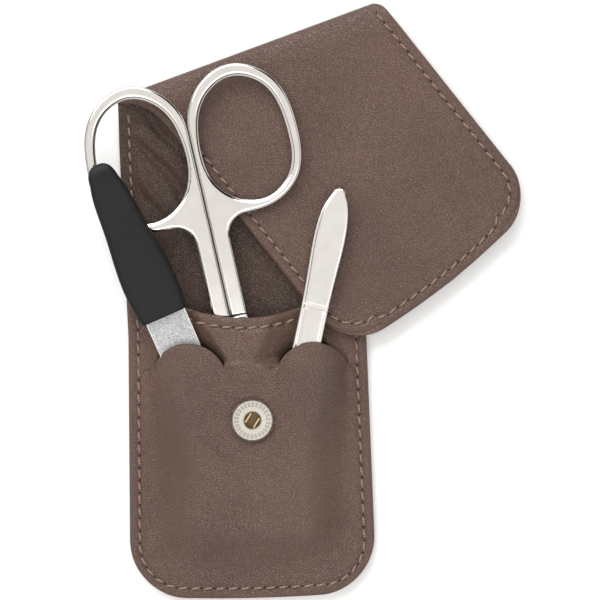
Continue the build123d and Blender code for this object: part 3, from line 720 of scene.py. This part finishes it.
def stitches(name, middles, ways, heights, rises=0.0):
    """Bowed threads, 9 degrees off the seam, and their needle holes, each at a height and a rise along it.

    A thread's centre rises as a half sine between its holes, and its radius is the sine of the
    same angle to a small power. A hole is a flat dome at each end of it, coloured dark as painted shade.
    """
    count = len(middles)
    t, turn = np.linspace(0, 1, 8), np.arange(8) / 8 * 2 * pi + pi / 2
    bow = np.sin(pi * t)
    radius = 0.05 + 0.24 * bow**0.4
    u = np.repeat(((t - 0.5) * stitch_length)[:, None], 8, 1)
    v = -radius[:, None] * np.cos(turn)
    w = (0.24 * bow**0.7 - 0.10)[:, None] - radius[:, None] * 0.85 * np.sin(turn)
    shape = np.stack([u, v, w], 2).reshape(-1, 3)
    quads = loop_faces(8, 8)
    dome_r, dome_a = np.array([0.30, 0.20, 0.02]), np.arange(9)[:-1] / 8 * 2 * pi
    dome = np.stack([
        dome_r[:, None] * np.cos(dome_a), dome_r[:, None] * np.sin(dome_a),
        np.repeat(np.array([-0.08, 0.01, 0.03])[:, None], 8, 1),
    ], 2).reshape(-1, 3) * [1.15, 1, 1] + [pitch / 2, 0, 0]
    dome_quads = loop_faces(3, 8)
    a = radians(9)
    turned = shape @ np.array([[cos(a), sin(a), 0], [-sin(a), cos(a), 0], [0, 0, 1]])
    one = np.concatenate([turned, dome])
    one_faces = np.concatenate([quads, dome_quads + 64])
    side = np.stack([-ways[:, 1], ways[:, 0]], 1)
    plan = middles[:, None] + one[None, :, :1] * ways[:, None] + one[None, :, 1:2] * side[:, None]
    height = heights[:, None] + one[None, :, 2] + np.broadcast_to(rises, count)[:, None] * one[None, :, 0]
    points = np.concatenate([plan, height[..., None]], 2).reshape(-1, 3)
    faces = (one_faces[None] + (np.arange(count) * len(one))[:, None, None]).reshape(-1, 4)
    kinds = np.tile(np.repeat([0, 1], [len(quads), len(dome_quads)]), count)
    made = make_piece(name, points, faces, [thread, painted_hole_shade], kinds)
    laid = np.zeros((len(one), 3))
    laid[:64, 0], laid[:64, 1] = shape[:, 0], np.tile(np.arange(8) / 8, 8)
    lay_data = made.data.attributes.new("lay", "FLOAT_VECTOR", "POINT")
    lay_data.data.foreach_set("vector", np.tile(laid, (count, 1)).ravel().astype(np.float32))
    close_up(made)
    return made


front_mid, front_way = along_path(front_seam)
below = front_mid[:, 1] < mouth_line(front_mid[:, 0]) - 1.2
front_mid, front_way = front_mid[below], front_way[below]
front_z = np.array([float(front_below(x, y) if y < slit_y else front_above(x, y)) for x, y in front_mid]) - 0.14
back_mid, back_way = along_path(back_seam)
above = back_mid[:, 1] > mouth_line(back_mid[:, 0]) + 0.8
back_mid, back_way = back_mid[above], back_way[above]
body_stitches = stitches(
    "body_stitches", np.concatenate([front_mid, back_mid]), np.concatenate([front_way, back_way]),
    np.concatenate([front_z, np.full(len(back_mid), back_t - 0.10)]),
)
mouth_mid, mouth_way = along_path(mouth_seam)
mouth_z = front_above(mouth_mid[:, 0], mouth_mid[:, 1]) - 0.12
mouth_stitches = stitches("mouth_stitches", mouth_mid, mouth_way, mouth_z)
flap_sewn, flap_sewn_way = along_path(flap_rim(seam_in), 6.0)
past = past_fold(flap_sewn)
in_sight = (past < -roll_run - 0.5) | ((past < -2.0) & (flap_sewn @ flap_side > flap_mid))
flap_sewn, flap_sewn_way = flap_sewn[in_sight], flap_sewn_way[in_sight]


def roll_fall(p):
    """How far the roll's top has fallen below the flap's: the rule of an ellipse, from where it starts."""
    into = np.clip(past_fold(p) + roll_run, 0, roll_run - 0.3) / roll_run
    return fold_z * (1 - np.sqrt(1 - into**2))


flap_z = flap_top - roll_fall(flap_sewn) + 0.06
flap_z = flap_z + flap_height(flap_sewn[:, 0], flap_sewn[:, 1])
flap_rise = roll_fall(flap_sewn - flap_sewn_way) - roll_fall(flap_sewn + flap_sewn_way)
flap_stitches = stitches("flap_stitches", flap_sewn, flap_sewn_way, flap_z, flap_rise / 2)
for sewn, seam_node in ((body_stitches, "body_seam_thread"), (mouth_stitches, "mouth_seam_thread")):
    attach(sewn, "case")
    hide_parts(seam_node)
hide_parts("flap_seam_thread", "flap_root_thread")
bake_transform(flap_stitches)


# ------------------------------------------------------------------ press stud
# The socket is a nickel-plated brass cap with a knurled rim and a ring of dashes, riveted through
# the pocket, with two bronze spring wires across its hole. Its ball is riveted under the flap. The dashes and the
# knurl's grooves are darkened in the colour as painted shade.
wear, wear_in, wear_out = group(
    "polished_metal", Colour=(0.7, 0.68, 0.64, 1), Roughness=0.12, Haze=0.1, Scratch=0.05)
place = node(wear, "TexCoord").outputs["Object"]
smear = node(wear, "TexNoise", Vector=place, Scale=260.0, Detail=4.0)
stretch = node(wear, "Mapping", Vector=place, Scale=(1.0, 0.06, 1.0))
hair = node(wear, "TexNoise", Vector=stretch, Scale=5200.0, Detail=2.0)
hazed = node(
    wear, "Math", operation="MULTIPLY_ADD", _0=smear, _1=wear_in.outputs["Haze"],
    _2=wear_in.outputs["Roughness"])
shade = node(wear, "MapRange", Value=smear, To_Min=0.93, To_Max=1.05)
tint = node(wear, "Mix", data_type="RGBA", blend_type="MULTIPLY", A=wear_in.outputs["Colour"], B=shade, Factor=1.0)
bump = node(wear, "Bump", Height=hair, Strength=wear_in.outputs["Scratch"], Distance=0.00002)
fill(wear, wear_out, Roughness=hazed, Colour=tint.outputs["Result"], Normal=bump)


def plated(name, colour, roughness, haze=0.08, scratch=0.05):
    """A metal made with the polished-metal group."""
    return finished(
        name, wear, {"Metallic": 1.0}, Colour=(*colour, 1), Roughness=roughness, Haze=haze, Scratch=scratch)


def finish_node(name, made):
    """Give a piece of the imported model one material."""
    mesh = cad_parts[name].data
    mesh.materials.clear()
    mesh.materials.append(made)


stud_nickel = plated("stud_nickel", (0.50, 0.47, 0.42), 0.26, 0.2, 0.2)
tree = stud_nickel.node_tree
shader = tree.nodes["Principled BSDF"]
place = node(tree, "TexCoord").outputs["Object"]
centre = node(tree, "Mapping", Vector=place, Location=(-stud_x * MM, 0, 0))
flat = node(tree, "VectorMath", operation="MULTIPLY", _0=centre, _1=(1, 1, 0))
radius = node(tree, "VectorMath", operation="LENGTH", _0=flat)
angle = node(tree, "TexGradient", gradient_type="RADIAL", Vector=centre)
teeth = node(tree, "Math", operation="MULTIPLY", _0=angle.outputs["Fac"], _1=2 * pi * 26)
wave = node(tree, "Math", operation="SINE", _0=teeth)
dash = node(tree, "MapRange", Value=wave, From_Min=-0.2, From_Max=0.2)
scale = node(tree, "Math", operation="MULTIPLY", _0=radius.outputs["Value"], _1=100)
dash_ring = ((0, 0), (0.330, 0), (0.335, 1), (0.425, 1), (0.430, 0), (1, 0))
band = node(tree, "ValToRGB", stops=[(reach, (grey, grey, grey)) for reach, grey in dash_ring], Fac=scale)
marks = node(tree, "Math", operation="MULTIPLY", _0=band, _1=dash)
knurl = node(tree, "Math", operation="MULTIPLY", _0=angle.outputs["Fac"], _1=2 * pi * 64)
tooth = node(tree, "Math", operation="SINE", _0=knurl)
rim = node(tree, "MapRange", Value=scale, To_Min=0.0, To_Max=-0.6, From_Min=0.455, From_Max=0.47)
relief = node(tree, "Math", operation="MULTIPLY_ADD", _0=tooth, _1=rim, _2=marks)
# Painted shade: the colour darkens in the dashes and the knurl's grooves.
painted_shade = node(tree, "MapRange", Value=relief, To_Min=1.0, To_Max=0.8, From_Min=0.0)
tone = node(
    tree, "Mix", data_type="RGBA", blend_type="MULTIPLY",
    A=tree.nodes["Group"].outputs["Colour"], B=painted_shade, Factor=1.0)
bump = node(tree, "Bump", Height=relief, Strength=1.0, Distance=0.0002)
fill(tree, shader, Base_Color=tone.outputs["Result"], Normal=bump)
stud_steel = plated("stud_steel", (0.13, 0.095, 0.06), 0.35, 0.1, 0.1)
bronze = plated("bronze_wire", (0.50, 0.38, 0.20), 0.28, 0.15, 0.1)
for name, made in (
    ("socket_cap", stud_nickel), ("socket_rivet", stud_steel), ("socket_spring", bronze),
    ("stud_ball", stud_nickel), ("stud_plate", stud_steel),
):
    finish_node(name, made)


# ------------------------------------------------------------------ nail scissors
# Two forged halves in polished nickel plate, ring, shank and blade in one each, that cross at a
# slotted screw. The rings are ground to a ridge, and the shanks lie side by side in the mouth.
def through(points, count, closed=False, start=None, stop=None):
    """A cubic spline through points: chord-length parameter, with slopes that make its curvature continuous.

    An open end has the direction given for it, or no curvature.
    """
    p = np.array(points, float)
    if closed:
        p = np.concatenate([p[-3:], p, p[:4]])
    h, t = np.linalg.norm(np.diff(p, axis=0), axis=1), lengths(p)
    n = len(p)
    system, value = np.zeros((n, n)), np.zeros((n, 2))
    i = np.arange(1, n - 1)
    system[i, i - 1], system[i, i], system[i, i + 1] = h[1:], 2 * (h[:-1] + h[1:]), h[:-1]
    rise = np.diff(p, axis=0) / h[:, None]
    value[1:-1] = 3 * (h[1:, None] * rise[:-1] + h[:-1, None] * rise[1:])
    system[0, :2], value[0] = (2, 1), 3 * rise[0]
    system[-1, -2:], value[-1] = (1, 2), 3 * rise[-1]
    for row, way in ((0, start), (-1, stop)):
        if way is not None:
            system[row] = 0
            system[row, row], value[row] = 1, np.array(way) / np.linalg.norm(way)
    slope = np.linalg.solve(system, value)
    low, high = (t[3], t[n - 4]) if closed else (t[0], t[-1])
    s = np.linspace(low, high, count)
    k = np.clip(np.searchsorted(t, s, "right") - 1, 0, n - 2)
    f = ((s - t[k]) / h[k])[:, None]
    return hermite(f, p[k], slope[k] * h[k, None], p[k + 1], slope[k + 1] * h[k, None])


def lay_tool(points, at, lean, rise, height):
    """Points of a tool's own frame in the case's: y runs along the tool and rises with it, and x stays level."""
    a = radians(lean)
    x_way = np.array([cos(a), -sin(a), 0.0])
    y_way = np.array([sin(a), cos(a), rise])
    y_way = y_way / np.linalg.norm(y_way)
    z_way = np.cross(x_way, y_way)
    return np.array([*at, height]) + points[..., :1] * x_way + points[..., 1:2] * y_way + points[..., 2:] * z_way


split, shank_w, root_y, pivot_y, tang_r, crossing_y, across_n = 0.15, 4.0, 17.6, -6.0, 4.1, -1.2, 15
across_shank = (ends_close(across_n, 1.5) + 1) / 2
ring_left = np.stack([np.full(40, split), np.linspace(root_y, 44.5, 41)[:-1]], 1)
ring_round = through(
    [(split, 44.5), (3.6, 53.2), (12.5, 57.7), (22, 52.6), (25.4, 40), (22.9, 28.2), (16.5, 23.5), (9.0, 22.6)],
    150, start=(0, 1), stop=(-1, 0),
)[:-1]
root_turn = np.linspace(0, pi / 2, 19)[:-1]
ring_root = np.stack([9.0 - 5 * np.sin(root_turn), root_y + 5 * np.cos(root_turn)], 1)
chord = np.stack([split + (shank_w - split) * across_shank[::-1], np.full(across_n, root_y)], 1)
ring_outer = np.concatenate([ring_left, ring_round, ring_root, chord])
hole_line = through(
    [(12.3, 54.7), (5.0, 50.5), (2.0, 41.5), (3.4, 31), (8.0, 26.3), (15, 25.1), (21.2, 29.5), (23.0, 40),
     (19.2, 51.8)],
    721, closed=True,
)[::-1]
shank_lines = np.concatenate([
    [(shank_w, -1.0), (shank_w, root_y)], ring_root[::-1], ring_round[::-1], ring_left[::-1], [(split, -1)]])


def matched(outer, pairs, line):
    """For each outer point, a point of a closed line, spread evenly between pairs of points that belong together."""
    size = len(line) - 1
    length = lengths(outer)
    at_outer = [length[np.linalg.norm(outer - a, axis=1).argmin()] for a, _ in pairs]
    at_outer[-1] = length[-1]
    at_line = np.array([np.linalg.norm(line - b, axis=1).argmin() for _, b in pairs], float)
    at_line = at_line[0] + np.concatenate([[0], np.cumsum(np.mod(np.diff(at_line) + size / 2, size) - size / 2)])
    where = np.interp(length, at_outer, at_line)
    k = np.floor(where).astype(int)
    f = (where - k)[:, None]
    return line[np.mod(k, size)] * (1 - f) + line[np.mod(k + 1, size)] * f


ring_inner = matched(ring_outer, [
    ((split, root_y), (3.75, 30.4)), ((split, 30), (2.4, 35.5)), ((split, 44.5), (2.1, 43.8)),
    ((3.6, 53.2), (5.0, 50.5)), ((12.5, 57.7), (12.3, 54.7)), ((22, 52.6), (19.4, 51.6)),
    ((25.4, 40), (23.0, 40)), ((22.9, 28.2), (21.1, 29.4)), ((16.5, 23.5), (15.2, 25.1)),
    ((9.0, 22.6), (8.6, 25.95)), ((shank_w, root_y), (5.0, 28.7)), ((split, root_y), (3.75, 30.4)),
], hole_line)


def ground(d, deep, wide):
    """How far a ground edge falls below the face: a power of what is left of its width."""
    return deep * np.clip(1 - d / wide, 0, 1) ** 1.2


def scissors_half(name, hand, blade_low, blade_high):
    """One half: a band between the ring's outline and its hole, and a strip from it down the shank to the tip.

    Both are closed loops over the top, down the side, back underneath and up. Each face falls
    away near the outline, and the two meshes share their points where the strip leaves the ring.
    """
    k = (ends_close(across_n, 1.6) + 1) / 2
    plan = ring_inner[:, None] + (ring_outer - ring_inner)[:, None] * k[None, :, None]
    d_out, _ = nearest(plan[..., 0], plan[..., 1], shank_lines)
    d_hole, _ = nearest(plan[..., 0], plan[..., 1], hole_line)
    fall = np.maximum(ground(d_out, 0.34, 0.5), ground(d_hole, 0.5, 0.8))
    face = np.concatenate([plan, (stock - fall)[..., None]], 2)
    under = np.concatenate([plan, fall[..., None]], 2)
    band = np.concatenate([face, under[:, ::-1]], 1)
    count, wide = band.shape[:2]
    ring_faces = np.mod(loop_faces(count + 1, wide), count * wide).reshape(count, wide, 4)
    keep = np.ones((count, wide), bool)
    keep[-across_n:-1, across_n - 1] = False
    ring_faces = ring_faces[keep]

    turn = np.linspace(0, pi, 25)
    tang_y = pivot_y + tang_r * np.cos(turn)
    y = np.unique(np.concatenate([
        np.linspace(root_y, 0.2, 12), [-0.2, -0.6, -0.9, -1.1, -1.2, -1.22, -1.4, -1.7, -1.85], tang_y[1:15],
        np.linspace(-7, scissors_tip + 0.2, 34), [scissors_tip]]))[::-1]
    left_blade = through([(-3.8, -7), (-2.6, -18), (0.25, scissors_tip)], 40)
    right_blade = through([(0.55, scissors_tip + 0.4), (1.9, -18), (3.1, -7)], 40)
    in_tang = np.sqrt(np.maximum(tang_r**2 - (y - pivot_y) ** 2, 0))
    x_left = np.where(y > -6.9, -in_tang, np.interp(y, left_blade[::-1, 1], left_blade[::-1, 0]))
    x_left = np.where(y > -1.9, split, x_left)
    x_right = np.where(y > -6.9, np.maximum(in_tang, 0), np.interp(y, right_blade[:, 1], right_blade[:, 0]))
    x_right = np.where(y > -6.0, np.interp(y, [-6, 1], [4.05, 4.0]), x_right)
    x_right = np.maximum(x_right, x_left + 0.05)
    half = smooth((crossing_y - y) / 0.02)
    low, high = blade_low * half, stock + (blade_high - stock) * half
    x = x_left[:, None] + (x_right - x_left)[:, None] * across_shank[None]
    side = np.minimum(x - x_left[:, None], x_right[:, None] - x)
    blade = smooth((crossing_y - y) / 0.5)[:, None]
    drop = ground(side, 0.34, 0.5) * (1 - blade) + ground(side, 0.22, 0.7) * blade
    drop = np.minimum(drop, (high - low)[:, None] * 0.45)
    end = ground(y - crossing_y, 0.4, 0.6)[:, None] * (y >= crossing_y - 0.001)[:, None]
    rows_y = np.repeat(y[:, None], across_n, 1)
    top = np.stack([x, rows_y, high[:, None] - np.maximum(drop, end)], 2)
    low_face = np.stack([x, rows_y, low[:, None] + drop], 2)
    strip = np.concatenate([top, low_face[:, ::-1]], 1)
    rows, columns = strip.shape[:2]
    strip_faces = loop_faces(rows, columns)[:, ::-1] + count * wide
    tip = count * wide + (rows - 1) * columns + np.arange(columns)
    tip_faces = np.stack([tip[:14], tip[1:15], tip[28:14:-1], tip[29:15:-1]], 1)[:, ::-1]
    points = np.concatenate([band.reshape(-1, 3), strip.reshape(-1, 3)])
    faces = np.concatenate([ring_faces, strip_faces, tip_faces])
    if hand < 0:
        points = points * [-1, 1, 1]
        faces = faces[:, ::-1]
    made = make_piece(name, lay_tool(points, *scissors_lie), faces, [scissors_nickel])
    close_up(made, join=2e-6)
    return made


scissors_nickel = plated("scissors_nickel", (0.70, 0.675, 0.645), 0.09, 0.05, 0.04)
right_half = scissors_half("right_half", 1, stock - 0.97, stock)
left_half = scissors_half("left_half", -1, 0.0, 0.97)
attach(right_half, "scissors")
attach(left_half, "scissors_left")
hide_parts("scissors_right_half")
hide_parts("scissors_left_half")
finish_node("scissors_screw", scissors_nickel)


# ------------------------------------------------------------------ nail file
# A flat steel blade with sharp grit bonded to both faces and bare edges, and a matt black
# plastic handle moulded over its tang, crowned and softly rounded.
grit, tree, shader = material("sparkling_grit", Metallic=0.55)
place = node(tree, "TexCoord").outputs["Object"]
turn = node(
    tree, "Mapping", vector_type="TEXTURE", Vector=place,
    Location=(file_lie[0][0] * MM, file_lie[0][1] * MM, 0), Rotation=(0, 0, -radians(file_lie[1])))
parts = node(tree, "SeparateXYZ", _0=turn)
away = node(tree, "Math", operation="ABSOLUTE", _0=parts.outputs["X"])
at_edge = node(tree, "MapRange", Value=away, From_Min=0.00472, From_Max=0.00482)
grain_cells = node(tree, "TexVoronoi", Vector=place, Scale=6500.0)
cell_value = node(tree, "SeparateXYZ", _0=grain_cells.outputs["Color"])
sparkle = node(tree, "MapRange", Value=cell_value.outputs["X"], From_Min=0.05, From_Max=0.75)
tone = node(tree, "ValToRGB", stops=[(0, (0.20, 0.205, 0.21)), (1, (0.50, 0.51, 0.525))], Fac=sparkle)
bump = node(tree, "Bump", Height=grain_cells, Strength=0.6, Distance=0.00005)
bare = node(tree, "Mix", data_type="RGBA", A=tone, Factor=at_edge, B=(0.62, 0.60, 0.57, 1))
bare_rough = node(tree, "MapRange", Value=at_edge, To_Min=0.42, To_Max=0.2)
fill(tree, shader, Base_Color=bare.outputs["Result"], Normal=bump, Roughness=bare_rough)
finish_node("file_blade", grit)

plastic, tree, shader = material("black_plastic", Base_Color=(0.012, 0.012, 0.013, 1))
shader.inputs["Specular IOR Level"].default_value = 0.2
place = node(tree, "TexCoord").outputs["Object"]
skin = node(tree, "TexNoise", Vector=place, Scale=3800.0, Detail=2.0)
smear = node(tree, "TexNoise", Vector=place, Scale=90.0, Detail=3.0)
bump = node(tree, "Bump", Height=skin, Strength=0.25, Distance=0.00003)
rough = node(tree, "MapRange", Value=smear, To_Min=0.40, To_Max=0.54)
tone = node(tree, "ValToRGB", stops=[(0, (0.006, 0.006, 0.007)), (1, (0.012, 0.012, 0.013))], Fac=smear)
fill(tree, shader, Normal=bump, Roughness=rough, Base_Color=tone)


def moulded_handle():
    """The handle: rounded-box sections (powers of cosine and sine) along it, narrowed to a round top.

    The half height falls by a circle's rule over the last 3 mm, so the end is rounded both ways.
    """
    right = through([(5.3, 0), (6.1, 9.8), (4.7, 24), (3.3, 35)], 80, start=(0.18, 1), stop=(-0.3, 1))
    left = through([(-5.9, 0), (-6.7, 9.8), (-5.3, 24), (-3.9, 35)], 80, start=(-0.18, 1), stop=(0.3, 1))
    shoulder, top = 35, 4.3
    y = np.concatenate([
        [0.0, 0.02, 0.12, 0.3, 0.6], np.linspace(1, shoulder, 40),
        shoulder + top * np.sin(np.linspace(0, pi / 2, 13)[1:])])
    beyond = np.maximum(y - shoulder, 0)
    cap = np.maximum(1 - (beyond / top) ** 2.7, 1e-4) ** (1 / 2.7)
    x_right = np.interp(y, right[:, 1], right[:, 0])
    x_left = np.interp(y, left[:, 1], left[:, 0])
    middle = (x_right + x_left) / 2
    wide = (x_right - x_left) / 2 * cap - beyond * 0.12 * cap
    inset = 0.5 * (1 - np.sqrt(1 - edge_fall(y, 0.6)))
    high = 1.8 * np.sqrt(np.maximum(1 - (np.clip(y - 36.0, 0, 3.3) / 3.45) ** 2, 0.02))
    high = high - inset * (y > 0.01) - 1.75 * (y <= 0.01)
    wide = np.maximum(wide - inset, 0.02)
    wide[0] = 0.02
    around = 48
    turn = np.arange(around) / around * 2 * pi
    c, n = np.cos(turn), np.sin(turn)
    box_x, box_z = np.sign(c) * np.abs(c) ** 0.42, np.sign(n) * np.abs(n) ** 0.50
    x = middle[:, None] + wide[:, None] * box_x
    z = 0.8 + high[:, None] * box_z
    points = np.stack([x, np.repeat(y[:, None], around, 1), z], 2)
    return lay_tool(points, *file_lie), loop_faces(len(y), around)[:, ::-1]


handle = make_piece("handle", *moulded_handle(), [plastic])
close_up(handle)
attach(handle, "nail_file")
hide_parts("file_handle")


# ------------------------------------------------------------------ tweezers
# Two sprung steel arms, polished and plated, welded together at their round head. The front arm
# has two fine steps across it, and below them its faces are ground to a narrow ridge.
arm_w = through([
    (26.3, 1.25), (25.2, 1.85), (23.2, 2.55), (20.8, 3.05), (17.0, 3.4), (8.0, 3.2), (-2.0, 2.9), (-14.0, 2.9),
    (-45.0, 1.5), (-52.6, 0.9)], 200)


def tweezers_arm(front, shift, wider):
    """One arm as a closed sheet: a grid over its outline, bowed away from the middle plane by a smooth step.

    The top face falls at its edges, more so below the steps, which are two small notches across.
    """
    y = np.concatenate([
        26.3 + 1.1 * np.sin(np.linspace(pi / 2, 0, 12)), np.linspace(26.0, 0.2, 66),
        np.linspace(0.1, -2.4, 40), np.linspace(-3, -52.0, 70), [-52.3, -52.5, -52.6]])
    extra = wider * smooth((25 - y) / 4)
    half = np.interp(-y, -arm_w[:, 0], arm_w[:, 1]) + extra
    half = half * np.sqrt(np.maximum(1 - (np.maximum(y - 26.3, 0) / 1.11) ** 2, 0.0002))
    u = ends_close(21, 1.5)
    x = -1.0 + shift + half[:, None] * u
    room = 0.01 if front else 0.0
    bow = (room + (0.8 - room) * smooth((18 - y) / 40))[:, None]
    side = half[:, None] * (1 - np.abs(u))
    end = np.maximum(27.4 - y, 0)[:, None]
    below = smooth((-1.7 - y) / 0.5)[:, None]
    drop = ground(np.minimum(side, end * 0.8), 0.17, 0.36) * (1 - below) + ground(side, 0.42, 0.85) * below
    steps = 0.34 * (smooth((-0.35 - y) / 0.2) - smooth((-0.62 - y) / 0.25)) + 0.26 * smooth((-1.5 - y) / 0.2)
    steps = steps[:, None] * smooth(side / 0.35)
    rows = np.repeat(y[:, None], len(u), 1)
    outer = np.stack([x, rows, bow + 0.9 - drop - steps * front], 2)
    inner = np.stack([x, rows, bow + 0.12 * edge_fall(side, 0.3)], 2)
    if not front:
        outer, inner = outer * [1, 1, -1], inner * [1, 1, -1]
    points, faces, _ = shell(outer, inner, 0.02, 3)
    if front:
        faces = faces[:, ::-1]
    return lay_tool(points, *tweezers_lie), faces


tweezers_nickel = plated("tweezers_nickel", (0.71, 0.690, 0.660), 0.12, 0.06, 0.06)
rear_arm = make_piece("rear_arm", *tweezers_arm(False, -0.3, 0.25), [tweezers_nickel])
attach(rear_arm, "tweezers")
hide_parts("tweezers_rear_arm")
front_arm = make_piece("front_arm", *tweezers_arm(True, 0.0, 0.0), [tweezers_nickel])
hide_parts("tweezers_head", "tweezers_front_arm")
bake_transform(front_arm)
